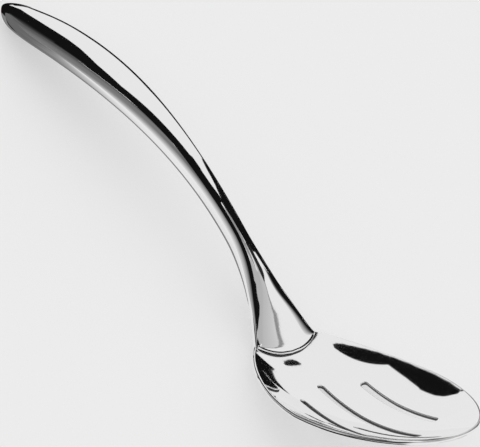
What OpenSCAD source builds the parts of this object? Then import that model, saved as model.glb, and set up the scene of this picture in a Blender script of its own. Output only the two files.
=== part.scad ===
// Slotted serving spoon: a pressed oval bowl with three long slots, carried by
// a hollow arched handle of two welded half shells.
// The spoon stands here as it lies on a table: it touches with the underside of
// the bowl and with the underside of the handle's end.  +X points from the
// handle to the bowl's tip, +Z is up, and the origin is under the middle.

/* [Bowl] */
// Length of the bowl in front of its widest point
bowl_front = 43; // [36:0.5:50]
// Length of the bowl's oval behind its widest point
bowl_back = 47; // [44:0.5:54]
// Width of the bowl
bowl_w = 62; // [52:0.5:74]
// Depth of the bowl below its side rims
bowl_depth = 9.5; // [7:0.1:14]
// Height of the front tip above the side rims
rim_front_rise = 0.8; // [0:0.1:3]
// Height of the rear rim above the side rims
rim_back_rise = 5.8; // [3:0.1:8]
// Share of its width that the oval loses towards the handle
rear_taper_share = 0.13; // [0:0.01:0.2]
// Fullness of the dish, where 2 is a plain parabola
dish_power = 1.95; // [1.7:0.05:2.4]
// Thickness of the bowl's sheet
sheet_t = 1.5; // [1:0.1:2]

/* [Slots] */
// Width of each slot
slot_w = 2.4; // [1.5:0.1:3.5]
// Distance between neighbouring slots
slot_pitch = 13.4; // [9:0.1:15]
// Reach of the middle slot in front of the widest point
mid_slot_front = 26.5; // [18:0.5:32]
// Reach of the middle slot behind the widest point
mid_slot_back = 23.2; // [16:0.2:28]
// Reach of the side slots in front of the widest point
side_slot_front = 20; // [14:0.5:26]
// Reach of the side slots behind the widest point
side_slot_back = 16.7; // [10:0.1:22]

/* [Handle line] */
// Distance from the bowl's widest point to the handle's end
handle_back = 202; // [180:1:230]
// Height of the handle's end above the bowl's side rims
handle_rise = 75; // [60:1:90]
// How far back the middle of the handle's arch pulls
arch_back = 84; // [76:1:96]
// How high the middle of the handle's arch pulls
arch_rise = 78; // [66:1:88]
// Length over which the handle leaves in line with the dish
root_pull = 8.3; // [6:0.1:12]
// Length over which the handle's end runs straight
end_pull = 32; // [22:1:44]
// Slope of the handle's end, in degrees
end_slope = 5; // [0:0.5:12]

/* [Handle section] */
// Width of the grip where it is widest
grip_w = 19.6; // [16:0.2:24]
// Thickness of the grip
grip_t = 8.8; // [7.6:0.1:11]
// Width of the waist
waist_w = 7.6; // [6.4:0.1:10]
// Thickness of the waist
waist_t = 7.4; // [6.4:0.1:9]
// Width of the flare where it lands on the bowl
flare_w = 30.4; // [26:0.2:33]
// Place of the waist along the handle
waist_share = 0.24; // [0.2:0.01:0.3]
// Place of the widest grip along the handle
grip_share = 0.78; // [0.7:0.01:0.84]
// Thickness of the handle's shells
wall = 0.9; // [0.6:0.1:1.2]

/* [Collar] */
// Distance from the bowl's widest point to the collar's edge
collar_x = 38.4; // [36:0.2:40]
// Radius of the collar's curved edge, seen from above
collar_r = 25; // [20:0.5:40]
// Clearance between pieces that seat on each other
fit_gap = 0.15; // [0.1:0.01:0.2]
// Thickness of the tang inside the handle
tang_t = 1.3; // [0.8:0.1:1.4]
// Size of the weld bead inside the handle's parting line
bead_d = 1.2; // [0.8:0.1:1.5]

/* [Hidden] */
$fn = 96;

// Overrun of the cuts past the faces that they go through
overrun = 2;
// How far the tang starts inside the bowl's sheet
tang_lap = 2.4;

// Counts of the patches in the lofted faces
dish_rings = 14;
dish_sides = 72;
spine_steps = 160;
shell_steps = 42;
shell_sides = 14;
tang_steps = 10;
tang_sides = 8;
weld_steps = 5;
weld_sides = 24;
bead_steps = 34;
bead_sides = 6;
keel_steps = 14;
// Rounds in which an angle or a place that is guessed at settles
settle_rounds = 6;
// Halvings of the tilt at which the spoon lies, and the steepest one, in degrees
tilt_rounds = 24;
steepest_tilt = 60;

// Shape numbers, all without a unit
ring_power = 0.9; // crowds the dish's rings towards the rim
flare_power = 1.66; // how fast the flare opens
nose_power = 2.9; // how late the nose closes
nose_bluntness = 0.85; // how round its end is
side_power = 2.2; // squareness of the handle's section, where 2 is an ellipse
root_side_power = 5; // the same at the collar
// Rounded edge of the sheet: depth as a share of its thickness, and reach as a
// share of half of it
edge_shares = [[0.2, 0.6], [0.5, 0.8], [0.8, 0.6]];
// Places along the handle, as shares of its length
shape_shares = [0.035, 0.14]; // where the dish's form turns into the spine's
thick_share = 0.20; // where the flare reaches the waist's thickness
nose_share = 0.93; // where the thickness starts to round off
cavity_share = 0.985; // where the hollow ends inside the nose
tang_share = 0.20; // end of the tang
weld_shares = [0.10, 0.13]; // the tang's weld from and to
bead_shares = [0.15, 0.975]; // the bead from and to
keel_share = 0.25; // reach of the underside that can touch a table
// Other shares
tang_side_share = 0.78; // the tang's part of the inner width
crowding_share = 0.5; // how far the shells' stations crowd at both ends

half_w = bowl_w / 2;
half_sheet = sheet_t / 2;
half_gap = fit_gap / 2;
root_t = sheet_t + 2 * (fit_gap + wall);

// The dish

function ease(u) = let (v = min(max(u, 0), 1)) v * v * (3 - 2 * v);
function reach(x) = x > 0 ? bowl_front : bowl_back;
function taper(a) = 1 + rear_taper_share * min(cos(a), 0);
function rim_rise(a) = (cos(a) > 0 ? rim_front_rise : rim_back_rise)
    * pow(cos(a), 2);

// Height of the dish's inner face at a share of the way to the rim
function dish_height(a, share) = let (f = pow(share, dish_power))
    rim_rise(a) * f - bowl_depth * (1 - f);
function dish_point(a, share) = [
    reach(cos(a)) * share * cos(a),
    half_w * taper(a) * share * sin(a),
    dish_height(a, share)];

// The outline's angle whose ray passes through a place in plan
function ray(x, y, a, n) = n <= 0 ? a
    : ray(x, y, atan2(y / (half_w * taper(a)), x / reach(x)), n - 1);
function dish_z(x, y) =
    let (a = ray(x, y, atan2(y / half_w, x / reach(x)), settle_rounds))
    dish_height(a, norm([x / reach(x), y / (half_w * taper(a))]));

// The handle's spine, in the plane of symmetry

function bezier(p, t) = len(p) == 1 ? p[0]
    : bezier([for (i = [0:len(p) - 2]) p[i] * (1 - t) + p[i + 1] * t], t);

// Slope of the dish where the collar's edge lies
root_slope = (rim_back_rise + bowl_depth) / bowl_back * dish_power
    * pow(collar_x / bowl_back, dish_power - 1);
root_dir = [-1, root_slope] / norm([1, root_slope]);
// Vertical distance from the dish's inner face to the middle of its sheet
drop = half_sheet * norm([1, root_slope]);
root_at = [-collar_x, dish_z(-collar_x, 0) - drop];
end_at = [-handle_back, handle_rise];
controls = [root_at, root_at + root_pull * root_dir,
    [-arch_back, arch_rise],
    end_at + end_pull * [cos(end_slope), -sin(end_slope)], end_at];
strides = [for (i = [1:len(controls) - 1]) controls[i] - controls[i - 1]];

spine_points = [for (i = [0:spine_steps]) bezier(controls, i / spine_steps)];
spine_runs = [for (i = 0, run = 0; i <= spine_steps; i = i + 1,
    run = i > spine_steps ? run
        : run + norm(spine_points[i] - spine_points[i - 1])) run];
spine_length = spine_runs[spine_steps];
spine_times = [for (i = [0:spine_steps])
    [spine_runs[i] / spine_length, i / spine_steps]];
spine_heights = [for (p = spine_points) [-p[0], p[1]]];
spine_places = [for (i = [0:spine_steps])
    [-spine_points[i][0], spine_runs[i] / spine_length]];

function spine(s) = s < 0 ? root_at + root_dir * s * spine_length
    : bezier(controls, lookup(s, spine_times));
function spine_dir(s) = let (d = bezier(strides, lookup(s, spine_times)))
    d / norm(d);

// The middle surface that the bowl's tang and the shells share

function collar_arc(y) = collar_r - sqrt(max(collar_r * collar_r - y * y, 0));
// Rise of the neck above the dish behind the collar's edge
function neck_rise(x) = x >= -collar_x ? 0
    : lookup(-x, spine_heights) - dish_z(x, 0) + drop;
function neck_z(x, y) = dish_z(x, y) - drop + neck_rise(x + collar_arc(y));
function middle(s, y) = let (c = spine(s),
    f = ease((s - shape_shares[0]) / (shape_shares[1] - shape_shares[0])))
    f == 1 ? [c[0], y, c[1]]
    : [c[0], y, c[1] * f + neck_z(c[0], y) * (1 - f)];
// A place off the middle surface by n, across the handle
function across(s, y, n) = let (d = spine_dir(s), m = middle(s, y))
    [m[0] + n * d[1], y, m[2] - n * d[0]];

// The handle's section

function flared(s) = waist_w + (flare_w - waist_w)
    * pow(max(1 - s / waist_share, 0), flare_power);
function swelling(s) = waist_w + (grip_w - waist_w)
    * (1 - cos(180 * min((s - waist_share) / (grip_share - waist_share), 1)))
    / 2;
function nose(s) = let (u = max(s - grip_share, 0) / (1 - grip_share))
    pow(max(1 - pow(u, nose_power), 0), nose_bluntness);
function half_width(s) = s < waist_share ? flared(max(s, 0)) / 2
    : swelling(s) * nose(s) / 2;
function nose_round(s) = let (v = max(s - nose_share, 0) / (1 - nose_share))
    sqrt(max(1 - v * v, 0));
function half_thickness(s) = nose_round(s) / 2
    * (root_t + (waist_t - root_t) * ease(s / thick_share)
        + (grip_t - waist_t)
        * ease((s - waist_share) / (grip_share - waist_share)));
function power(s) = side_power
    + (root_side_power - side_power) * (1 - ease(s / shape_shares[1]));

// A point of the handle's skin, inset from its outside, at an angle from the
// parting line: 0 and 180 are its two edges, and 90 is the crown of side 1 or
// the keel of side -1
function skin_point(s, a, inset, side) = let (
    k = 2 / power(s),
    y = (half_width(s) - inset) * sign(cos(a)) * pow(abs(cos(a)), k),
    n = (half_thickness(s) - inset - half_gap) * pow(abs(sin(a)), k))
    across(s, y, side * (half_gap + n));

// Where the collar's curved edge crosses the skin at an angle
function edge_share(a, inset, s, n) = n <= 0 ? s
    : edge_share(a, inset, lookup(collar_x + collar_arc(
        (half_width(s) - inset) * pow(abs(cos(a)), 2 / power(s))),
        spine_places), n - 1);

// Solids from lofted rows of points

// Closed loops one after another, with a point to close each end
module loops(rings, first, last) {
    sides = len(rings[0]);
    ends = len(rings) * sides;
    points = [for (ring = rings) each ring, first, last];
    bands = [for (k = [0:len(rings) - 2], j = [0:sides - 1])
        let (a = k * sides + j, b = k * sides + (j + 1) % sides)
        each [[a, b, b + sides], [a, b + sides, a + sides]]];
    fans = [for (j = [0:sides - 1]) let (i = (j + 1) % sides)
        each [[ends, i, j],
            [ends + 1, ends - sides + j, ends - sides + i]]];
    polyhedron(points, concat(bands, fans));
}

// The slab between two like grids; with tips, its last row closes on them
module slab(outer, inner, tips = []) {
    sides = len(outer[0]);
    rows = len(outer);
    loop = 2 * sides;
    ends = rows * loop;
    points = concat([for (k = [0:rows - 1]) each concat(outer[k],
        [for (j = [sides - 1:-1:0]) inner[k][j]])], tips);
    bands = [for (k = [0:rows - 2], j = [0:loop - 1])
        let (a = k * loop + j, b = k * loop + (j + 1) % loop)
        each [[a, b, b + loop], [a, b + loop, a + loop]]];
    start = [for (j = [0:sides - 2])
        each [[j + 1, j, loop - 1 - j], [j + 1, loop - 1 - j, loop - 2 - j]]];
    z = ends - loop;
    flat_end = [for (j = [0:sides - 2])
        each [[z + j, z + j + 1, ends - 1 - j],
            [z + j + 1, ends - 2 - j, ends - 1 - j]]];
    shut_end = concat(
        [for (j = [0:sides - 2]) [z + j, z + j + 1, ends]],
        [for (j = [sides:loop - 2]) [z + j, z + j + 1, ends + 1]],
        [[z + sides - 1, z + sides, ends + 1],
            [z + sides - 1, ends + 1, ends],
            [ends - 1, z, ends], [ends - 1, ends, ends + 1]]);
    polyhedron(points, concat(bands, start,
        len(tips) == 0 ? flat_end : shut_end));
}

// The bowl

dish_shares = [for (k = [1:dish_rings]) pow(k / dish_rings, ring_power)];
dish_angles = [for (j = [0:dish_sides - 1]) 360 * j / dish_sides];

// Directions in the dish's inner face, away from its middle and round it
near_share = 1 / dish_sides;
near_turn = 90 / dish_sides;
function outward(a, share) =
    dish_point(a, share + near_share) - dish_point(a, share - near_share);
function round(a, share) =
    dish_point(a + near_turn, share) - dish_point(a - near_turn, share);

// Unit vector that points up out of the dish's inner face
function dish_normal(a, share) = let (n = cross(outward(a, share), round(a, share)))
    n / norm(n);
function dish_under(a, share) =
    dish_point(a, share) - sheet_t * dish_normal(a, share);
function rim_edge(a, shares) = let (
    n = dish_normal(a, 1),
    out = cross(round(a, 1), n))
    dish_point(a, 1) - sheet_t * shares[0] * n
        + half_sheet * shares[1] * out / norm(out);

inner_rings = [for (s = dish_shares) [for (a = dish_angles) dish_point(a, s)]];
under_rings = [for (k = [dish_rings - 1:-1:0])
    [for (a = dish_angles) dish_under(a, dish_shares[k])]];
edge_rings = [for (e = edge_shares) [for (a = dish_angles) rim_edge(a, e)]];

// A straight slot with round ends, cut down through the sheet
module slot(y, front, back) {
    r = slot_w / 2;
    low = -bowl_depth - sheet_t - overrun;
    high = rim_back_rise + overrun;
    translate([0, y, low]) {
        translate([front - r, 0, 0]) cylinder(r = r, h = high - low);
        translate([r - back, 0, 0]) cylinder(r = r, h = high - low);
        translate([r - back, -r, 0])
            cube([front + back - slot_w, slot_w, high - low]);
    }
}

module slots() {
    slot(0, mid_slot_front, mid_slot_back);
    for (side = [-1, 1])
        slot(side * slot_pitch, side_slot_front, side_slot_back);
}

// What the dish loses behind the collar's edge
module collar_cut() {
    low = -bowl_depth - sheet_t - overrun;
    translate([-collar_x - collar_r, 0, low])
        cylinder(r = collar_r + fit_gap, h = bowl_depth + rim_back_rise
            + sheet_t + 2 * overrun);
}

// The neck of the sheet that runs up inside the handle
module tang() {
    start = -tang_lap / spine_length;
    shares = [for (k = [0:tang_steps])
        start + (tang_share - start) * k / tang_steps];
    function side(s) = (half_width(s) - wall - fit_gap) * tang_side_share;
    function row(s, n) = [for (j = [0:tang_sides])
        across(s, side(s) * (1 - 2 * j / tang_sides), n)];
    slab([for (s = shares) row(s, tang_t / 2)],
        [for (s = shares) row(s, -tang_t / 2)]);
}

module bowl() {
    color([0.86, 0.86, 0.87]) placed() {
        difference() {
            loops(concat(inner_rings, edge_rings, under_rings),
                [0, 0, -bowl_depth], [0, 0, -bowl_depth - sheet_t]);
            slots();
            collar_cut();
        }
        tang();
    }
}

// The handle

// Stations close together at the collar and at the nose
station_shares = [for (k = [0:shell_steps - 1]) let (u = k / shell_steps)
    u * (1 - crowding_share) + crowding_share * (1 - cos(180 * u)) / 2];

// One half of the hollow handle: side 1 is the crown, side -1 the keel
module half_shell(side) {
    angles = [for (j = [0:shell_sides]) 180 * j / shell_sides];
    function row(u, inset, far) = [for (a = angles)
        let (s = edge_share(a, inset, 0, settle_rounds))
        skin_point(s + (far - s) * u, a, inset, side)];
    outer = [for (u = station_shares) row(u, 0, 1)];
    inner = [for (u = station_shares) row(u, wall, cavity_share)];
    tips = [across(1, 0, side * half_gap),
        across(cavity_share, 0, side * half_gap)];
    if (side > 0) slab(outer, inner, tips);
    else slab(inner, outer, [tips[1], tips[0]]);
}

module handle_upper_shell() {
    color([0.90, 0.90, 0.91]) placed() half_shell(1);
}

module handle_lower_shell() {
    color([0.78, 0.78, 0.80]) placed() half_shell(-1);
}

// Root bead inside the parting line, up one side, round the nose and back
module seam_weld() {
    r = bead_d / 2;
    span = bead_shares[1] - bead_shares[0];
    shares = [for (k = [0:bead_steps]) bead_shares[0] + span
        * sin(90 * k / bead_steps)];
    function half_way(s) = max(half_width(s) - wall - fit_gap - r, 0);
    places = concat([for (s = shares) [s, half_way(s)]],
        [for (k = [bead_steps:-1:0]) [shares[k], -half_way(shares[k])]]);
    path = [for (p = places) across(p[0], p[1], 0)];
    last = len(path) - 1;
    // The bead's section stands across its path, upright on the parting surface
    function ring(i) = let (
        d = spine_dir(places[i][0]),
        up = [d[1], 0, -d[0]],
        out = cross(path[min(i + 1, last)] - path[max(i - 1, 0)], up))
        [for (j = [0:bead_sides - 1]) let (a = 360 * j / bead_sides)
            path[i] + r * (cos(a) * out / norm(out) + sin(a) * up)];
    color([0.62, 0.62, 0.63]) placed()
        loops([for (i = [0:last]) ring(i)], path[0], path[last]);
}

// Weld metal that ties the tang to both shells inside the neck
module tang_weld() {
    span = weld_shares[1] - weld_shares[0];
    function plug(s, inset) = [for (j = [0:weld_sides - 1])
        let (a = 360 * (j + 0.5) / weld_sides)
        skin_point(s, a, inset, a > 180 ? -1 : 1)];
    color([0.58, 0.58, 0.60]) placed() difference() {
        loops([for (k = [0:weld_steps])
            plug(weld_shares[0] + span * k / weld_steps, wall + fit_gap)],
            middle(weld_shares[0], 0), middle(weld_shares[1], 0));
        tang();
    }
}

// How the spoon lies on a table

bowl_keels = concat(
    [for (s = dish_shares) each [dish_under(0, s), dish_under(180, s)]],
    [for (k = [0:keel_steps])
        skin_point(keel_share * k / keel_steps, 90, 0, -1)]);
end_keels = [for (k = [0:keel_steps])
    skin_point(1 - keel_share * k / keel_steps, 90, 0, -1)];

function tilted(p, tilt) = [p[0] * cos(tilt) - p[2] * sin(tilt),
    p[0] * sin(tilt) + p[2] * cos(tilt)];
function low(tilt, keels) = min([for (p = keels) tilted(p, tilt)[1]]);
// The tilt at which the bowl and the handle's end are equally low
function level(a, b, n) = let (m = (a + b) / 2) n <= 0 ? m
    : low(m, bowl_keels) < low(m, end_keels)
    ? level(m, b, n - 1) : level(a, m, n - 1);
rest_tilt = level(0, steepest_tilt, tilt_rounds);

front_x = tilted(rim_edge(0, edge_shares[1]), rest_tilt)[0];
back_x = tilted(across(1, 0, 0), rest_tilt)[0];
table_z = low(rest_tilt, bowl_keels);

module placed() {
    translate([-(front_x + back_x) / 2, 0, -table_z])
        rotate([0, -rest_tilt, 0]) children();
}

bowl();
handle_upper_shell();
handle_lower_shell();
seam_weld();
tang_weld();
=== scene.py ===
"""Looks of the slotted serving spoon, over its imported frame.

Sizes are in millimetres, as in the part's source, and become metres where a
mesh is made.  The spoon is first made with the bowl's side rims level, and is
then tilted and shifted to lie on the table as the frame does.
"""
import math

import bmesh
import bpy
import numpy as np
from mathutils import Matrix, Vector, geometry


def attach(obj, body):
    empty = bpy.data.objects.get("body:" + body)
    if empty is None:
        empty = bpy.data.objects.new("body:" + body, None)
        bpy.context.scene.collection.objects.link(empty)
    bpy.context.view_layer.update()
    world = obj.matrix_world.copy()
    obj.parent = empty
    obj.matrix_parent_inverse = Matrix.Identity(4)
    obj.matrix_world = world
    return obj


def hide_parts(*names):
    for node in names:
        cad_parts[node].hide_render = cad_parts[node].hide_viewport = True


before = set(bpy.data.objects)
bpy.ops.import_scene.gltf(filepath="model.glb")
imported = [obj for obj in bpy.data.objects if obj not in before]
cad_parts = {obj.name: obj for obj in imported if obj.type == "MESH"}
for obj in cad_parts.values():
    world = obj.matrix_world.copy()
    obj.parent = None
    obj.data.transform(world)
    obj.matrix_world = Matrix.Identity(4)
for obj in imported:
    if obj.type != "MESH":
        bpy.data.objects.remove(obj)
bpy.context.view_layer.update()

MM = 0.001

# Bowl
BOWL_FRONT = 43.0
BOWL_BACK = 47.0
HALF_W = 31.0
BOWL_DEPTH = 9.5
RIM_FRONT_RISE = 0.8
RIM_BACK_RISE = 5.8
REAR_TAPER = 0.13
DISH_POWER = 1.95
SHEET_T = 1.5
RIM_SWELL_SHARE = 0.8

# Slots
SLOT_W = 2.4
SLOT_PITCH = 13.4
MID_SLOT = (-23.2, 26.5)
SIDE_SLOT = (-16.7, 20.0)
SLOT_EDGE = 0.3
SLOTS = [(MID_SLOT, 0.0), (SIDE_SLOT, SLOT_PITCH), (SIDE_SLOT, -SLOT_PITCH)]

# Handle line
HANDLE_BACK = 202.0
HANDLE_RISE = 75.0
ARCH_BACK = 84.0
ARCH_RISE = 78.0
ROOT_PULL = 8.3
END_PULL = 32.0
END_SLOPE = math.radians(5)

# Handle section
GRIP_W = 19.6
GRIP_T = 8.8
WAIST_W = 7.6
WAIST_T = 7.4
FLARE_W = 30.4
WAIST_SHARE = 0.24
GRIP_SHARE = 0.78
FLARE_POWER = 1.66
NOSE_POWER = 2.9
NOSE_BLUNTNESS = 0.85
SIDE_POWER = 2.2
ROOT_SIDE_POWER = 5.0
SHAPE_SHARES = (0.035, 0.14)
THICK_SHARE = 0.20
NOSE_SHARE = 0.93
CAVITY_SHARE = 0.985
WALL = 0.9

# Collar and tang
COLLAR_X = 38.4
COLLAR_R = 25.0
FIT_GAP = 0.15
TANG_T = 1.3
TANG_LAP = 2.4
TANG_SHARE = 0.20
TANG_SIDE_SHARE = 0.78

# Rows across the collar's free edge, as shares of its thickness, the share of
# the wall that it swells, and the row from which it takes the dark cut steel,
# which paints shade into its joint with the bowl
EDGE_SHARES = (0.06, 0.2, 0.4, 0.6, 0.8, 0.94)
EDGE_SWELL_SHARE = 0.3
SHADED_CUT_ROW = EDGE_SHARES.index(0.4)

# Fineness of the meshes
SPACING = 0.9
RIM_STEPS = 560
RIM_ROWS = 10
ARC_STEPS = 93
SLOT_STEPS = 60
SLOT_END_STEPS = 30
ROUND_STEPS = 4
SPINE_STEPS = 400
SHELL_ROWS = 300
SHELL_COLS = 97
TANG_ROWS = 24
TANG_COLS = 17
SEARCH_STEPS = 4000
SETTLE_ROUNDS = 8
# The share of even spacing in a shell's rows, which else crowd at both ends
EVEN_SHARE = 0.15

# Search for the tilt at which the spoon lies
KEEL_STEPS = 60
KEEL_SHARE = 0.25
DISH_KEEL_START = 0.05
STEEPEST_TILT = math.radians(60)
HALVINGS = 40

HALF_SHEET = SHEET_T / 2
ROOT_T = SHEET_T + 2 * (FIT_GAP + WALL)
COLLAR_MIDDLE = -COLLAR_X - COLLAR_R


# The dish

def ease(u):
    v = np.clip(u, 0, 1)
    return v * v * (3 - 2 * v)


def reach(x):
    return np.where(x > 0, BOWL_FRONT, BOWL_BACK)


def taper(a):
    return 1 + REAR_TAPER * np.minimum(np.cos(a), 0)


def dish_height(a, share):
    rise = np.where(np.cos(a) > 0, RIM_FRONT_RISE, RIM_BACK_RISE)
    fill = share ** DISH_POWER
    return rise * np.cos(a) ** 2 * fill - BOWL_DEPTH * (1 - fill)


def ray(x, y):
    """Angle of the outline whose ray passes through a place in plan."""
    a = np.arctan2(y / HALF_W, x / reach(x))
    for _ in range(SETTLE_ROUNDS):
        a = np.arctan2(y / (HALF_W * taper(a)), x / reach(x))
    return a


def rim_share(x, y, a):
    """How far out a place in plan lies, where the rim is 1."""
    return np.hypot(x / reach(x), y / (HALF_W * taper(a)))


def dish_z(x, y):
    x, y = np.broadcast_arrays(np.asarray(x, float), np.asarray(y, float))
    a = ray(x, y)
    return dish_height(a, rim_share(x, y, a))


def unit(v):
    return v / np.maximum(np.linalg.norm(v, axis=-1, keepdims=True), 1e-12)


def dish(x, y):
    """Points of the dish's inner face and the unit vectors out of it."""
    step = 0.02
    z = dish_z(x, y)
    slope_x = (dish_z(x + step, y) - dish_z(x - step, y)) / (2 * step)
    slope_y = (dish_z(x, y + step) - dish_z(x, y - step)) / (2 * step)
    return (np.stack([x, y, z], -1),
            unit(np.stack([-slope_x, -slope_y, np.ones_like(z)], -1)))


def rim(a):
    return np.stack([reach(np.cos(a)) * np.cos(a),
                     HALF_W * taper(a) * np.sin(a)], -1)


# The handle's spine, in the plane of symmetry

def bezier(p, t):
    t = np.asarray(t, float)[..., None]
    n = len(p) - 1
    return sum(math.comb(n, i) * (1 - t) ** (n - i) * t ** i * p[i]
               for i in range(n + 1))


PROBE = SHEET_T / 10
ROOT_SLOPE = float(dish_z(-COLLAR_X - PROBE, 0)
                   - dish_z(-COLLAR_X + PROBE, 0)) / (2 * PROBE)
ROOT_DIR = np.array([-1, ROOT_SLOPE]) / math.hypot(1, ROOT_SLOPE)
DROP = HALF_SHEET * math.hypot(1, ROOT_SLOPE)
ROOT_AT = np.array([-COLLAR_X, float(dish_z(-COLLAR_X, 0)) - DROP])
END_AT = np.array([-HANDLE_BACK, HANDLE_RISE])
END_DIR = np.array([-math.cos(END_SLOPE), math.sin(END_SLOPE)])
CONTROLS = [ROOT_AT, ROOT_AT + ROOT_PULL * ROOT_DIR,
            np.array([-ARCH_BACK, ARCH_RISE]),
            END_AT - END_PULL * END_DIR, END_AT]
SPINE_T = np.linspace(0, 1, SPINE_STEPS + 1)
SPINE = bezier(CONTROLS, SPINE_T)
SPINE_RUN = np.concatenate(
    [[0], np.cumsum(np.linalg.norm(np.diff(SPINE, axis=0), axis=1))])
SPINE_LENGTH = SPINE_RUN[-1]
SPINE_S = SPINE_RUN / SPINE_LENGTH


def spine(s):
    """Places and directions along the spine, straight on before its start."""
    t = np.interp(s, SPINE_S, SPINE_T)
    step = 1e-4
    ahead = bezier(CONTROLS, np.minimum(t + step, 1))
    behind = bezier(CONTROLS, np.maximum(t - step, 0))
    at = bezier(CONTROLS, t)
    at = at + np.minimum(s, 0)[..., None] * SPINE_LENGTH * ROOT_DIR
    return at, unit(ahead - behind)


def collar_arc(y):
    return COLLAR_R - np.sqrt(np.maximum(COLLAR_R ** 2 - y * y, 0))


def neck_z(x, y):
    """Middle of the sheet, which bends up into the neck behind the collar."""
    behind = x + collar_arc(y)
    bend = np.interp(-behind, -SPINE[:, 0], SPINE[:, 1])
    bend = bend - dish_z(behind, 0) + DROP
    return dish_z(x, y) - DROP + np.where(behind < -COLLAR_X, bend, 0)


def across(s, y, n):
    """A place off the middle surface by n, across the handle by y."""
    at, to = spine(s)
    f = ease((s - SHAPE_SHARES[0]) / (SHAPE_SHARES[1] - SHAPE_SHARES[0]))
    z = at[..., 1] * f + neck_z(at[..., 0], y) * (1 - f)
    return np.stack([at[..., 0] + n * to[..., 1], y, z - n * to[..., 0]], -1)


# The handle's section

def half_width(s):
    flare = WAIST_W + (FLARE_W - WAIST_W) * (
        np.maximum(1 - np.maximum(s, 0) / WAIST_SHARE, 0) ** FLARE_POWER)
    way = np.clip((s - WAIST_SHARE) / (GRIP_SHARE - WAIST_SHARE), 0, 1)
    swell = WAIST_W + (GRIP_W - WAIST_W) * (1 - np.cos(math.pi * way)) / 2
    u = np.maximum(s - GRIP_SHARE, 0) / (1 - GRIP_SHARE)
    nose = np.maximum(1 - u ** NOSE_POWER, 0) ** NOSE_BLUNTNESS
    return np.where(s < WAIST_SHARE, flare, swell * nose) / 2


def half_thickness(s):
    v = np.maximum(s - NOSE_SHARE, 0) / (1 - NOSE_SHARE)
    thick = ROOT_T + (WAIST_T - ROOT_T) * ease(s / THICK_SHARE)
    thick = thick + (GRIP_T - WAIST_T) * ease(
        (s - WAIST_SHARE) / (GRIP_SHARE - WAIST_SHARE))
    return np.sqrt(np.maximum(1 - v * v, 0)) * thick / 2


def side_power(s):
    return SIDE_POWER + (ROOT_SIDE_POWER - SIDE_POWER) * (
        1 - ease(s / SHAPE_SHARES[1]))


def skin(s, a, inset=0.0):
    """Points of the handle's skin; 0 and pi are its two parting lines."""
    k = 2 / side_power(s)
    c, d = np.cos(a), np.sin(a)
    y = (half_width(s) - inset) * np.sign(c) * np.abs(c) ** k
    n = (half_thickness(s) - inset) * np.sign(d) * np.abs(d) ** k
    return across(s, y, n)


def edge_share(a, inset=0.0):
    """Where the collar's curved edge crosses the skin."""
    s = np.zeros_like(a)
    for _ in range(SETTLE_ROUNDS):
        y = (half_width(s) - inset) * np.abs(np.cos(a)) ** (2 / side_power(s))
        s = np.interp(COLLAR_X + collar_arc(y), -SPINE[:, 0], SPINE_S)
    return s


# How the spoon lies on the table

def keels():
    """Undersides of the bowl with the collar, and of the handle's end."""
    share = np.linspace(DISH_KEEL_START, 1, KEEL_STEPS)
    x = np.concatenate([BOWL_FRONT * share, -BOWL_BACK * share])
    point, normal = dish(x, 0 * x)
    s = np.linspace(0, KEEL_SHARE, KEEL_STEPS)
    low = np.full_like(s, -math.pi / 2)
    return (np.concatenate([point - SHEET_T * normal, skin(s, low)]),
            skin(1 - s, low))


def height(p, tilt):
    """Height of the lowest point once the spoon is tilted."""
    return (p[:, 0] * math.sin(tilt) + p[:, 2] * math.cos(tilt)).min()


def rest_matrix():
    """The move from the level bowl to the spoon at rest, in millimetres."""
    bowl_keel, end_keel = keels()
    low, high = 0.0, STEEPEST_TILT
    for _ in range(HALVINGS):
        tilt = (low + high) / 2
        if height(bowl_keel, tilt) < height(end_keel, tilt):
            low = tilt
        else:
            high = tilt
    turned = Matrix.Rotation(-tilt, 4, "Y")
    front, _ = dish(np.array(BOWL_FRONT), np.array(0.0))
    front = turned @ Vector(
        front + [RIM_SWELL_SHARE * HALF_SHEET, 0, -HALF_SHEET])
    back = turned @ Vector((END_AT[0], 0, END_AT[1]))
    return Matrix.Translation((-(front.x + back.x) / 2, 0,
                               -height(bowl_keel, tilt))) @ turned


TO_REST = rest_matrix()


def to_frame(points):
    m = np.array(TO_REST)
    return (points @ m[:3, :3].T + m[:3, 3]) * MM


def turn(vectors):
    return vectors @ np.array(TO_REST)[:3, :3].T


# Meshes

def new_object(name, mesh):
    made = bpy.data.objects.new(name, mesh)
    bpy.context.scene.collection.objects.link(made)
    return made


def grid_normals(grid, wrap):
    """Unit normals of a grid of points, with its second way closed or open."""
    rows = np.gradient(grid, axis=0)
    if wrap:
        cols = np.roll(grid, -1, axis=1) - np.roll(grid, 1, axis=1)
    else:
        cols = np.gradient(grid, axis=1)
    return unit(np.cross(rows, cols))


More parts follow.
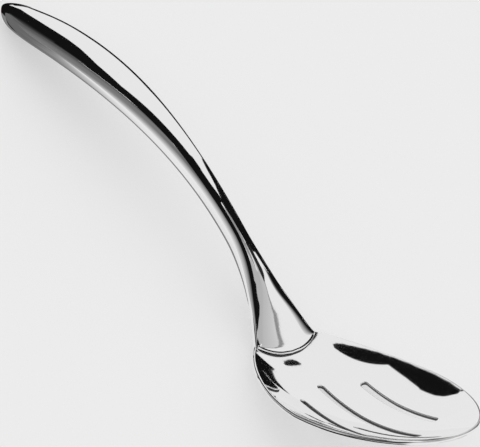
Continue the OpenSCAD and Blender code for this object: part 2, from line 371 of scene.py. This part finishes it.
class Shape:
    """Points, unit normals and faces of a piece, gathered bit by bit.

    Faces may wind and normals may point either way until the piece is made.
    """

    def __init__(self):
        self.points, self.normals, self.faces = [], [], []
        self.count = 0

    def add(self, points, normals):
        """The numbers of new points, arranged as the points are."""
        numbers = np.arange(self.count, self.count + points[..., 0].size)
        self.points.append(points.reshape(-1, 3))
        self.normals.append(normals.reshape(-1, 3))
        self.count += numbers.size
        return numbers.reshape(points.shape[:-1])

    def face(self, numbers):
        self.faces.append(tuple(int(i) for i in numbers))

    def strips(self, rows, closed=False):
        """Quads between each row of point numbers and the next."""
        for first, second in zip(rows, rows[1:]):
            n = len(first)
            for j in range(n if closed else n - 1):
                k = (j + 1) % n
                self.face([first[j], first[k], second[k], second[j]])

    def fan(self, middle, row):
        for a, b in zip(row, row[1:]):
            self.face([middle, b, a])

    def make(self, name, materials, nodes, second):
        """The piece itself; faces numbered in second take material two."""
        mesh = bpy.data.meshes.new(name)
        points = to_frame(np.concatenate(self.points))
        mesh.from_pydata(points.tolist(), [], self.faces)
        mesh.validate()
        work = bmesh.new()
        work.from_mesh(mesh)
        bmesh.ops.recalc_face_normals(work, faces=work.faces)
        work.to_mesh(mesh)
        work.free()
        mesh.shade_smooth()
        own = np.array([v.normal[:] for v in mesh.vertices])
        given = unit(turn(np.concatenate(self.normals)))
        given[(own * given).sum(axis=1) < 0] *= -1
        mesh.normals_split_custom_set_from_vertices(
            [Vector(n) for n in given])
        for material in materials:
            mesh.materials.append(material)
        for number in second:
            mesh.polygons[number].material_index = 1
        piece = new_object(name, mesh)
        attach(piece, "root")
        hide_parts(*nodes)


# The bowl's sheet, in plan

def slot_loop(span, y, grow):
    """Outline of a slot in plan, counter-clockwise, grown by an offset."""
    r = SLOT_W / 2
    a = np.linspace(-math.pi / 2, math.pi / 2, SLOT_END_STEPS)
    front = np.stack([span[1] - r + (r + grow) * np.cos(a),
                      y + (r + grow) * np.sin(a)], -1)
    back = np.stack([span[0] + r - (r + grow) * np.cos(a),
                     y - (r + grow) * np.sin(a)], -1)
    x = np.linspace(front[-1, 0], back[0, 0], SLOT_STEPS)[1:-1]
    upper = np.stack([x, np.full_like(x, y + r + grow)], -1)
    lower = np.stack([x[::-1], np.full_like(x, y - r - grow)], -1)
    return np.concatenate([front, upper, back, lower])


def sheet_outline():
    """Rim from collar to collar in plan, then the collar's edge back."""
    cut_r = COLLAR_R + FIT_GAP
    a = np.linspace(0, math.pi, SEARCH_STEPS)
    p = rim(a)
    within = np.hypot(p[:, 0] - COLLAR_MIDDLE, p[:, 1]) < cut_r
    last = a[np.argmax(within)]
    rim_loop = rim(np.linspace(-last, last, RIM_STEPS))
    b = math.atan2(rim_loop[-1, 1], rim_loop[-1, 0] - COLLAR_MIDDLE)
    turns = np.linspace(b, -b, ARC_STEPS)[1:-1]
    arc = np.stack([COLLAR_MIDDLE + cut_r * np.cos(turns),
                    cut_r * np.sin(turns)], -1)
    return rim_loop, arc


def inside_slot(p, grow):
    hit = np.zeros(len(p), bool)
    r = SLOT_W / 2
    for span, y in SLOTS:
        x = np.clip(p[:, 0], span[0] + r, span[1] - r)
        hit |= np.hypot(p[:, 0] - x, p[:, 1] - y) < r + grow
    return hit


def inside_sheet(p, margin):
    x, y = p[:, 0], p[:, 1]
    clear = np.hypot(x - COLLAR_MIDDLE, y) > COLLAR_R + FIT_GAP + margin
    return (rim_share(x, y, ray(x, y)) < 1 - margin / HALF_W) & clear


def triangles(points, loops):
    """Triangles in plan between points, with edges along closed loops."""
    edges = [edge for ids in loops for edge in zip(ids, ids[1:] + ids[:1])]
    out = geometry.delaunay_2d_cdt([Vector(p) for p in points], edges, [], 0,
                                   1e-6)
    place = {old: new for new, olds in enumerate(out[3]) for old in olds}
    flat = np.array([v[:] for v in out[0]])
    return flat, np.array(out[2]), [[place[i] for i in ids] for ids in loops]


def plan_mesh():
    """Triangles of the sheet in plan, with its loops' vertex numbers."""
    rim_loop, arc = sheet_outline()
    outlines = [np.concatenate([rim_loop, arc])]
    outlines += [slot_loop(span, y, SLOT_EDGE) for span, y in SLOTS]
    xs = np.arange(-BOWL_BACK, BOWL_FRONT, SPACING)
    ys = np.arange(-HALF_W, HALF_W, SPACING * math.sqrt(3) / 2)
    gx, gy = np.meshgrid(xs, ys)
    gx = gx + (np.arange(len(ys)) % 2)[:, None] * SPACING / 2
    fill = np.stack([gx.ravel(), gy.ravel()], -1)
    fill = fill[inside_sheet(fill, SPACING / 2)
                & ~inside_slot(fill, SLOT_EDGE + SPACING / 3)]
    loops, start = [], 0
    for outline in outlines:
        loops.append(list(range(start, start + len(outline))))
        start += len(outline)
    flat, faces, loops = triangles(np.concatenate(outlines + [fill]), loops)
    middle = flat[faces].mean(axis=1)
    hair = 1e-4
    keep = inside_sheet(middle, hair) & ~inside_slot(middle, SLOT_EDGE - hair)
    return flat, faces[keep], loops, len(rim_loop)


# The bowl

def rounded_rim(top, up):
    """Rows of the rim's round edge, which swells out past the faces."""
    out = unit(np.cross(np.gradient(top, axis=0), up))
    return np.array([top - SHEET_T * (1 - math.cos(f)) / 2 * up
                     + RIM_SWELL_SHARE * HALF_SHEET * math.sin(f) * out
                     for f in np.linspace(0, math.pi, RIM_ROWS + 2)[1:-1]])


def slot_rows(span, y):
    """Rows down a slot's wall, with a round edge above and below."""
    turns = np.linspace(0, math.pi / 2, ROUND_STEPS + 1)[1:]
    above = [(SLOT_EDGE * (1 - math.sin(f)), SLOT_EDGE * (1 - math.cos(f)))
             for f in turns]
    below = [(grow, SHEET_T - depth) for grow, depth in above[::-1]]
    rows = []
    for grow, depth in above + below:
        loop = slot_loop(span, y, grow)
        point, normal = dish(loop[:, 0], loop[:, 1])
        rows.append(point - depth * normal)
    return np.array(rows)


def tang_loops():
    """Closed loops round the neck inside the handle."""
    s = np.linspace(-TANG_LAP / SPINE_LENGTH, TANG_SHARE, TANG_ROWS)[:, None]
    side = (half_width(s) - WALL - FIT_GAP) * TANG_SIDE_SHARE
    y = side * np.linspace(1, -1, TANG_COLS)[None, :]
    upper = across(s + 0 * y, y, TANG_T / 2)
    lower = across(s + 0 * y, y, -TANG_T / 2)
    return np.concatenate([upper, lower[:, ::-1]], axis=1)


def bowl_piece(materials):
    flat, faces, loops, rim_count = plan_mesh()
    top, up = dish(flat[:, 0], flat[:, 1])
    under = top - SHEET_T * up
    shape = Shape()
    upper, lower = shape.add(top, up), shape.add(under, -up)
    for corners in np.concatenate([upper[faces], lower[faces]]):
        shape.face(corners)

    def wall(rows, ids, closed):
        """Rows of a wall from a loop of the upper face to the lower one."""
        grid = np.concatenate([[top[ids]], rows, [under[ids]]])
        made = shape.add(rows, grid_normals(grid, closed)[1:-1])
        made = np.concatenate([[upper[ids]], made, [lower[ids]]])
        shape.strips(made, closed)
        return made

    ids = loops[0][:rim_count]
    rim_rows = wall(rounded_rim(top[ids], up[ids]), ids, False)
    # Collar's edge: a plain wall, which meets the ends of the rim
    ids = loops[0][rim_count - 1:] + loops[0][:1]
    shape.strips([upper[ids], lower[ids]])
    shape.face(rim_rows[:, -1])
    shape.face(rim_rows[:, 0])
    # The flat middle of each slot's wall takes the dark cut steel: painted
    # shade in the slots
    shaded_cut_faces = []
    for (span, y), ids in zip(SLOTS, loops[1:]):
        first = len(shape.faces) + ROUND_STEPS * len(ids)
        shaded_cut_faces += range(first, first + len(ids))
        wall(slot_rows(span, y), ids, True)
    grid = tang_loops()
    tang = shape.add(grid, grid_normals(grid, True))
    shape.strips(tang, True)
    shape.face(tang[0])
    shape.face(tang[-1])
    shape.make("bowl_sheet", materials, ["bowl"], shaded_cut_faces)


# The handle

def shell_grids(side):
    """Outside of a shell from collar to nose, its normals, and the inside."""
    a = side * np.linspace(0, math.pi, SHELL_COLS)[None, :]
    u = np.linspace(0, 1, SHELL_ROWS + 1)[:-1, None]
    u = EVEN_SHARE * u + (1 - EVEN_SHARE) * (1 - np.cos(math.pi * u)) / 2
    start = edge_share(a)
    s = start + (1 - start) * u
    a = a + 0 * s
    ds, da = 2e-4, 2e-3
    outward = unit(np.cross(
        skin(s + ds, a) - skin(np.maximum(s - ds, 0), a),
        skin(s, a + da) - skin(s, a - da)))
    start = edge_share(a[:1], WALL)
    inner_s = start + (CAVITY_SHARE - start) * u
    return skin(s, a), outward, skin(inner_s, a, WALL)


def shell_piece(name, side, materials, node):
    """Half of the hollow handle; side 1 is the crown, -1 the keel."""
    outer, outward, inner = shell_grids(side)
    forward = unit(outer[0] - outer[1])
    edge = [outer[0] * (1 - f) + inner[0] * f
            + forward * EDGE_SWELL_SHARE * WALL * math.sin(math.pi * f)
            for f in EDGE_SHARES]
    grid = np.concatenate([outer[::-1], edge, inner])
    normals = grid_normals(grid, False)
    normals[:SHELL_ROWS] = outward[::-1]
    shape = Shape()
    ids = shape.add(grid, normals)
    shares = np.array([1, CAVITY_SHARE])
    ends = across(shares, 0 * shares, 0 * shares)
    end_dir = np.array([[END_DIR[0], 0, END_DIR[1]]] * 2)
    tip, hollow = shape.add(ends, end_dir)
    shape.strips(ids)
    shape.fan(tip, ids[0])
    shape.fan(hollow, ids[-1])
    # Parting faces on both sides
    inside_row = SHELL_ROWS + len(EDGE_SHARES)
    for line in (ids[:, 0], ids[:, -1]):
        shape.strips([[*line[SHELL_ROWS - 1::-1], tip],
                      [*line[inside_row:], hollow]])
        shape.face(line[SHELL_ROWS - 1:inside_row + 1])
    # From the shade row on, the collar's free edge takes the dark cut steel:
    # painted shade at its joint with the bowl
    shaded_cut_faces = range((SHELL_ROWS + SHADED_CUT_ROW) * (SHELL_COLS - 1),
                      inside_row * (SHELL_COLS - 1))
    shape.make(name, materials, [node], shaded_cut_faces)


# Materials

# Polished steel: its cloudiness, and its polishing marks, which are drawn out
# along the spoon
CLOUD_SCALE = 90
CLOUD_SHARE = 0.985
MARK_SCALE = 2600
MARK_STRETCH = 0.04
MARK_SPREAD = 0.3
MARK_DEPTH = 2e-6


def grey(tone):
    return (tone, tone, tone, 1)


def new_node(tree, kind, inputs):
    """A node whose inputs take plain values or other nodes' outputs."""
    made = tree.nodes.new(kind)
    for name, value in inputs.items():
        if isinstance(value, bpy.types.NodeSocket):
            tree.links.new(value, made.inputs[name])
        else:
            made.inputs[name].default_value = value
    return made


def seen_directly(tree):
    """1 where the eye looks, by itself or in polished metal, and else 0."""
    path = tree.nodes.new("ShaderNodeLightPath")
    seen = tree.nodes.new("ShaderNodeMath")
    seen.operation = "MAXIMUM"
    tree.links.new(path.outputs["Is Camera Ray"], seen.inputs[0])
    tree.links.new(path.outputs["Is Glossy Ray"], seen.inputs[1])
    return seen.outputs[0]


def steel(name, tint, roughness, streak):
    """Polished steel with faint cloudiness and fine polishing marks."""
    material = bpy.data.materials.new(name)
    material.use_nodes = True
    tree = material.node_tree
    shader = tree.nodes["Principled BSDF"]
    shader.inputs["Metallic"].default_value = 1.0
    place = tree.nodes.new("ShaderNodeTexCoord").outputs["Object"]
    cloud = new_node(tree, "ShaderNodeTexNoise",
                     {"Vector": place, "Scale": CLOUD_SCALE, "Detail": 4})
    colour = tree.nodes.new("ShaderNodeMix")
    colour.data_type = "RGBA"
    colour.inputs[6].default_value = (*[c * CLOUD_SHARE for c in tint], 1)
    colour.inputs[7].default_value = (*tint, 1)
    tree.links.new(cloud.outputs["Fac"], colour.inputs["Factor"])
    tree.links.new(colour.outputs[2], shader.inputs["Base Color"])
    stretch = new_node(tree, "ShaderNodeMapping",
                       {"Vector": place, "Scale": (MARK_STRETCH, 1, 1)})
    marks = new_node(tree, "ShaderNodeTexNoise",
                     {"Vector": stretch.outputs[0], "Scale": MARK_SCALE,
                      "Detail": 2})
    rough = new_node(tree, "ShaderNodeMapRange",
                     {"Value": marks.outputs["Fac"],
                      "To Min": roughness * (1 - MARK_SPREAD),
                      "To Max": roughness * (1 + MARK_SPREAD)})
    tree.links.new(rough.outputs["Result"], shader.inputs["Roughness"])
    bump = new_node(tree, "ShaderNodeBump",
                    {"Height": marks.outputs["Fac"], "Strength": streak,
                     "Distance": MARK_DEPTH})
    tree.links.new(bump.outputs["Normal"], shader.inputs["Normal"])
    return material


polished = steel("polished_steel", (0.95, 0.95, 0.95), 0.04, 0.2)
weld = steel("weld_metal", (0.55, 0.55, 0.56), 0.4, 0.6)
# Cut edges are duller steel, and this one is also painted far darker than
# steel, as painted shade in the slots and at the collar's joint
shaded_cut_steel = steel("cut_edge", (0.09, 0.09, 0.09), 0.35, 0.6)

bowl_piece([polished, shaded_cut_steel])
shell_piece("upper_shell", 1, [polished, shaded_cut_steel], "handle_upper_shell")
shell_piece("lower_shell", -1, [polished, shaded_cut_steel], "handle_lower_shell")
for node in ("seam_weld", "tang_weld"):
    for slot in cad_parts[node].material_slots:
        slot.material = weld


# Stage and light

PALE = 0.84
BLACK = 0.006
FLOOR_REACH = 3000.0
FLOOR_OWN_SHARE = 0.55


def make_world():
    """Plain white light, which the eye and polished metal see as pale grey."""
    world = bpy.data.worlds.new("studio")
    world.use_nodes = True
    tree = world.node_tree
    light = tree.nodes["Background"]
    light.inputs["Color"].default_value = grey(1)
    pale = new_node(tree, "ShaderNodeBackground", {"Color": grey(PALE)})
    pick = new_node(tree, "ShaderNodeMixShader",
                    {0: seen_directly(tree), 1: light.outputs[0],
                     2: pale.outputs[0]})
    tree.links.new(pick.outputs[0],
                   tree.nodes["World Output"].inputs["Surface"])
    bpy.context.scene.world = world


def floor_material():
    """Pale matt floor, whose shadows look soft.

    The eye sees a share of its tone as its own light.
    """
    material = bpy.data.materials.new("floor_pale")
    material.use_nodes = True
    tree = material.node_tree
    shader = tree.nodes["Principled BSDF"]
    shader.inputs["Base Color"].default_value = grey(PALE)
    shader.inputs["Roughness"].default_value = 1.0
    shader.inputs["Specular IOR Level"].default_value = 0.0
    own = new_node(tree, "ShaderNodeEmission", {"Color": grey(PALE)})
    share = new_node(tree, "ShaderNodeMath",
                     {0: seen_directly(tree), 1: FLOOR_OWN_SHARE})
    share.operation = "MULTIPLY"
    pick = new_node(tree, "ShaderNodeMixShader",
                    {0: share.outputs[0], 1: shader.outputs[0],
                     2: own.outputs[0]})
    tree.links.new(pick.outputs[0],
                   tree.nodes["Material Output"].inputs["Surface"])
    return material


def make_floor():
    mesh = bpy.data.meshes.new("floor")
    r = FLOOR_REACH * MM
    mesh.from_pydata([(-r, -r, 0), (r, -r, 0), (r, r, 0), (-r, r, 0)], [],
                     [(0, 1, 2, 3)])
    mesh.materials.append(floor_material())
    floor = new_object("floor", mesh)


make_world()
make_floor()


# Studio cards, which only polished metal sees

def card_material():
    """Light of the tone that each point of a card holds."""
    material = bpy.data.materials.new("studio_card")
    material.use_nodes = True
    tree = material.node_tree
    tree.nodes.remove(tree.nodes["Principled BSDF"])
    tone = tree.nodes.new("ShaderNodeAttribute")
    tone.attribute_name = "tone"
    glow = new_node(tree, "ShaderNodeEmission",
                    {"Strength": tone.outputs["Fac"]})
    tree.links.new(glow.outputs[0],
                   tree.nodes["Material Output"].inputs["Surface"])
    return material


def inside(p, outline):
    hit = np.zeros(len(p), bool)
    for (ax, ay), (bx, by) in zip(outline, outline[1:] + outline[:1]):
        between = (ay > p[:, 1]) != (by > p[:, 1])
        rise = by - ay if by != ay else 1
        hit ^= between & (p[:, 0] < (bx - ax) * (p[:, 1] - ay) / rise + ax)
    return hit


def filled(outline, spacing):
    """Points and triangles that fill a straight-sided outline."""
    edge = []
    for a, b in zip(outline, outline[1:] + outline[:1]):
        a, b = np.array(a, float), np.array(b, float)
        count = max(int(np.linalg.norm(b - a) / spacing), 1)
        edge += [a + (b - a) * i / count for i in range(count)]
    corner, far = np.min(outline, axis=0), np.max(outline, axis=0)
    gx, gy = np.meshgrid(np.arange(corner[0], far[0], spacing),
                         np.arange(corner[1], far[1], spacing))
    fill = np.stack([gx.ravel(), gy.ravel()], -1) + spacing / 3
    fill = fill[inside(fill, outline)]
    flat, faces, _ = triangles(np.concatenate([edge, fill]),
                               [list(range(len(edge)))])
    return flat, faces[inside(flat[faces].mean(axis=1), outline)]


def card(name, outline, place, tone, spacing):
    """A card with an outline in the two coordinates of place.

    Its tone is one number, or a function of the same two coordinates.
    """
    flat, faces = filled(outline, spacing)
    mesh = bpy.data.meshes.new(name)
    mesh.from_pydata((place(flat[:, 0], flat[:, 1]) * MM).tolist(), [],
                     faces.tolist())
    values = tone(flat[:, 0], flat[:, 1]) if callable(tone) else tone
    mesh.attributes.new("tone", "FLOAT", "POINT").data.foreach_set(
        "value", np.broadcast_to(values, len(flat)).astype(np.float32))
    mesh.materials.append(CARD_MATERIAL)
    piece = new_object(name, mesh)
    piece.visible_camera = False
    piece.visible_diffuse = False
    piece.visible_transmission = False
    piece.visible_volume_scatter = False
    piece.visible_shadow = False


CARD_MATERIAL = card_material()

# Distances of the cards: far ones by direction, near ones on planes
DOME_R = 20000.0
NEARER_SHARE = 0.9
CLOSE_R = 250.0
CEILING_Z = 80.0
FLARE_Y = 60.0
EDGE_Y = 30.0
FRONT_Y = -28.0
END_X = -200.0
LOW_MAT_Z = 0.8
MAT_Z = 1.0
TOP_MAT_Z = 1.5
# How far a card stands from its neighbour
CARD_GAP = 0.5


def dome(az, el):
    """A far place in a direction, in degrees from +X and above the floor."""
    a, e = np.radians(az), np.radians(el)
    return DOME_R * np.stack([np.cos(e) * np.cos(a), np.cos(e) * np.sin(a),
                              np.sin(e)], -1)


def nearer(az, el):
    return NEARER_SHARE * dome(az, el)


def around(x, y, z):
    """Directions seen from a place on the bowl, on a dome close by."""
    return lambda az, el: [x, y, z] + dome(az, el) * (CLOSE_R / DOME_R)


def level_at(z):
    return lambda x, y: np.stack([x, y, 0 * x + z], -1)


def upright_at(x):
    return lambda y, z: np.stack([0 * y + x, y, z], -1)


def along_at(y):
    return lambda x, z: np.stack([x, 0 * x + y, z], -1)


# Tones of the cards that aren't even

# How far the side wall over the grip, and the end wall high up, are from black
SIDE_GREY = 0.19
# The darkest tone of the mats beside the handle
MAT_DARK = 0.14


def wall_tone(az, el):
    """Black at its far side, grey over the grip, paler low and near."""
    dark = BLACK + SIDE_GREY * ease((az - 168) / 46)
    light = np.interp(el, [-5, 13, 18, 22, 37, 43, 50, 57, 64],
                      [0.8, 0.6, 0.54, 0.47, 0.34, 0.24, 0.16, 0.09, 0.03])
    return dark + (light - dark) * ease((az - 217) / 33)


def flare_tone(x, z):
    """Black below and pale at the top edge."""
    low = np.interp(x, [20, 27, 41, 52, 60], [41, 44, 49, 36, 31])
    high = np.interp(x, [20, 27, 45, 60], [63, 59, 63, 62])
    share = np.clip((z - low) / (high - low), 0, 1)
    return BLACK + (PALE - BLACK) * share ** 2.5


def near_tone(x, z):
    """Paler towards its low edge."""
    return np.interp(z, [78, 88, 106, 153], [0.72, 0.58, 0.53, 0.48])


def panel_tone(az, el):
    """Paler towards its low edge, like the flare's panel."""
    return 0.46 + 0.26 * ease((62 - el) / 15)


def mat_tone(x, y):
    """Dark by the handle's end, pale towards its middle."""
    return MAT_DARK + (PALE - MAT_DARK) * ease((x - 0.9 * y + 95) / 70)


def end_tone(y, z):
    """Black towards +y, with an edge that is sharper near the table."""
    edge = np.interp(z, [14, 20, 27, 36, 45], [-13, -11.5, -7.5, 2, 10.5])
    width = np.interp(z, [14, 27, 45], [4, 12, 62.8])
    rise = np.interp(z, [14, 27, 45], [0.12, 0.13, SIDE_GREY])
    return BLACK + rise * ease((edge - y) / width)


# Far cards, by direction
card("side_wall", [(190, 64), (262, 64), (262, -40), (158, -40), (163, -5),
                   (169.5, 3), (174.8, 11), (179.3, 17.5), (183.3, 25),
                   (186.5, 33), (189, 41), (189.5, 47)],
     dome, wall_tone, 3)
card("bowl_flag", [(182, 46.5), (160.3, 61.5), (161, 63), (165, 63.3),
                   (171, 62.6), (178, 60.2), (183, 57.2), (186.7, 53),
                   (188.2, 47), (187.8, 41), (185.3, 33), (182, 25),
                   (178, 17.5), (173.5, 11.2), (171.3, 10.2), (169.8, 13),
                   (170, 16), (172.8, 25), (178.5, 37)], nearer, BLACK, 2)
card("rear_flag", [(100, -30), (93, 0), (93, 30), (95, 38), (93, 44),
                   (92, 52), (91, 63), (104, 72), (150, 76), (113, 58),
                   (112.8, 42), (114.2, 28), (114.8, 12), (115.3, 0),
                   (115.3, -12), (113.5, -30)], dome, BLACK, 2)
card("upper_wall", [(66, 68), (110, 70), (160, 88), (66, 88)], dome, 0.3, 3)
card("rear_panel", [(-60, 50), (64, 50), (72, 51), (76, 53), (70, 60),
                    (66, 68), (60, 86), (-60, 86)], dome, panel_tone, 3)
card("front_wall", [(262, -5), (320, -5), (320, 75), (262, 75)], dome, 0.06, 5)
card("collar_flag", [(128, 52.5), (133, 56.2), (141, 62), (150, 66.6),
                     (152, 67.6), (149, 70), (126, 58)], nearer, BLACK, 2)
card("front_flag", [(8, -8), (60, -8), (60, 5), (8, 5)], dome, BLACK, 4)
# Small cards, by direction from the places of the bowl that show them
card("small_flag", [(120.5, 27.3), (120.5, 30.2), (121.5, 34.5),
                    (122.8, 37.7), (124.5, 39.9), (126.2, 40.8),
                    (125.7, 39.2), (124.6, 37.1), (123.2, 34.1),
                    (121.9, 30.7), (121, 28.1)],
     around(56.5, -2, 2.5), BLACK, 2)
card("slim_flag", [(112, 16), (115, 14), (116, 12), (117.8, 3), (117.2, 2),
                   (112, 2)], around(54, -17, 6), BLACK, 2)
card("thin_flag", [(116.5, 12.8), (118.6, 13.8), (118.7, 10), (119.6, 4),
                   (121.2, -2), (120.6, -5), (119.4, 0.5), (118.2, 5),
                   (117.2, 9)], around(60, -17, 5.5), BLACK, 2)
# A ceiling over the handle
card("ceiling_flag", [(-8, 3), (23.5, -3), (37.6, -8.5), (44, 3), (50, 12),
                      (54, 10), (55, -8), (50, -24), (40, -40), (28, -46),
                      (10, -46), (-20, -45), (-50, -14), (-100, -10),
                      (-200, -6), (-200, 68), (-150, 35), (-112, 20),
                      (-80, 25), (-50, 25), (-12, 20)],
     level_at(CEILING_Z), BLACK, 10)
# Screens beside the flare
card("flare_card", [(25, 27), (75, 27), (75, 55), (66, 59), (60, 61.5),
                    (45, 63), (27, 59), (25, 60)],
     along_at(FLARE_Y), flare_tone, 3)
card("flare_band", [(13, 88), (26, 84), (34, 79), (40, 83), (50, 95),
                    (53.5, 98), (50, 103), (44, 115), (36, 125), (24, 150),
                    (13, 170)], along_at(FLARE_Y), 0.02, 5)
card("flare_line", [(50, 98.5), (53, 98.9), (60, 94.4), (64.5, 87.5),
                    (69, 82.5), (74, 81.2), (77, 81.1), (77, 78.6),
                    (72, 78.6), (68, 80), (63.5, 85), (59.4, 91), (53, 95.5),
                    (50, 94)], along_at(FLARE_Y - CARD_GAP), 0.25, 2)
card("flare_panel", [(53.5, 97), (60, 93), (64.4, 86.6), (69, 81.6),
                     (74, 80.6), (90, 80.2), (90, 150), (25, 150), (36, 125),
                     (44, 115), (50, 103)],
     along_at(FLARE_Y + CARD_GAP), near_tone, 5)
# Screens beyond the handle's end, along its far side and before the flare
card("end_screen", [(8, 0), (30, 0), (36, 18), (51, 37), (65, 64), (68, 80),
                    (8, 80)], upright_at(END_X), BLACK, 10)
card("end_wall", [(-24, 0.9), (10, 0.9), (10, 125), (-24, 125)],
     upright_at(END_X - 2 * CARD_GAP), end_tone, 4)
card("edge_screen", [(25, 0), (25, 14), (5, 20), (-16, 24.5), (-30, 27),
                     (-53, 27.5), (-72, 26.5), (-90, 21.5), (-108, 16),
                     (-122, 11), (-133, 9), (-150, 8.5), (-175, 8),
                     (-175, 0)], along_at(EDGE_Y), BLACK, 10)
card("flare_screen", [(22, 0), (42, 0), (42, 14), (22, 12)],
     along_at(FRONT_Y), BLACK, 5)
# Mats on the floor
card("side_mat", [(-20, -8), (-95, -8), (-100, 8), (-400, 8), (-400, -500),
                  (-100, -500)], level_at(LOW_MAT_Z), mat_tone, 15)
card("far_mat", [(-400, 8), (-2900, 8), (-2900, -2900), (-1000, -2900),
                 (-100, -500), (-400, -500)],
     level_at(LOW_MAT_Z), mat_tone, 200)
card("end_mat", [(-128.5, 2), (-128.5, 16), (-136, 22), (-200, 45),
                 (-200, -14.5), (-188, -13.3), (-160, -10.3), (-145, -7.8),
                 (-131, -5.4), (-124.5, -6.2), (-117, -9.2), (-113, -9),
                 (-118, -6.3), (-124, -3)], level_at(MAT_Z), BLACK, 20)
card("rear_mat", [(45, 13), (43, 24), (33, 24), (16, 56), (-5, 75), (-32, 75),
                  (-22, 26), (5, 18), (30, 13)], level_at(MAT_Z), BLACK, 20)
# A grey mat under the handle, seen only in the metal: painted shade standing
# in for the floor's shadow there
card("under_mat", [(25, -11), (25, 24), (-90, 24), (-125, 12), (-125, -6),
                   (-90, -11)], level_at(TOP_MAT_Z), 0.22, 20)
card("near_mat", [(45, -30), (60, -45), (95, -45), (101, -32), (116, -24),
                  (130, -10), (145, -15), (200, -60), (150, -400),
                  (-50, -400), (20, -60)], level_at(MAT_Z), BLACK, 20)


# Camera, placed round the level bowl

CAM_AZIMUTH = math.radians(48.296)
CAM_ELEVATION = math.radians(20.985)
CAM_ROLL = math.radians(3.681)
CAM_DISTANCE = 1539.5
CAM_OFFSET = (-41.78, 55.96)
PIXELS_PER_MM = 3.035
FRAME_W = 480
SENSOR_W = 36.0
CLIP_END = 20000.0


def make_camera():
    ca, sa = math.cos(CAM_AZIMUTH), math.sin(CAM_AZIMUTH)
    ce, se = math.cos(CAM_ELEVATION), math.sin(CAM_ELEVATION)
    level = Vector((ca, sa, 0))
    back = Vector((sa * ce, -ca * ce, se))
    right = (math.cos(CAM_ROLL) * level
             + math.sin(CAM_ROLL) * back.cross(level))
    up = back.cross(right)
    at = right * CAM_OFFSET[0] + up * CAM_OFFSET[1] + back * CAM_DISTANCE
    placed = TO_REST @ Matrix(((right.x, up.x, back.x, at.x),
                               (right.y, up.y, back.y, at.y),
                               (right.z, up.z, back.z, at.z),
                               (0, 0, 0, 1)))
    placed.translation *= MM
    data = bpy.data.cameras.new("camera")
    data.lens = PIXELS_PER_MM * CAM_DISTANCE / FRAME_W * SENSOR_W
    data.sensor_width = SENSOR_W
    data.clip_end = CLIP_END * MM
    camera = new_object("camera", data)
    camera.matrix_world = placed
    return camera


bpy.context.scene.camera = make_camera()
bpy.context.scene.view_settings.view_transform = "Standard"
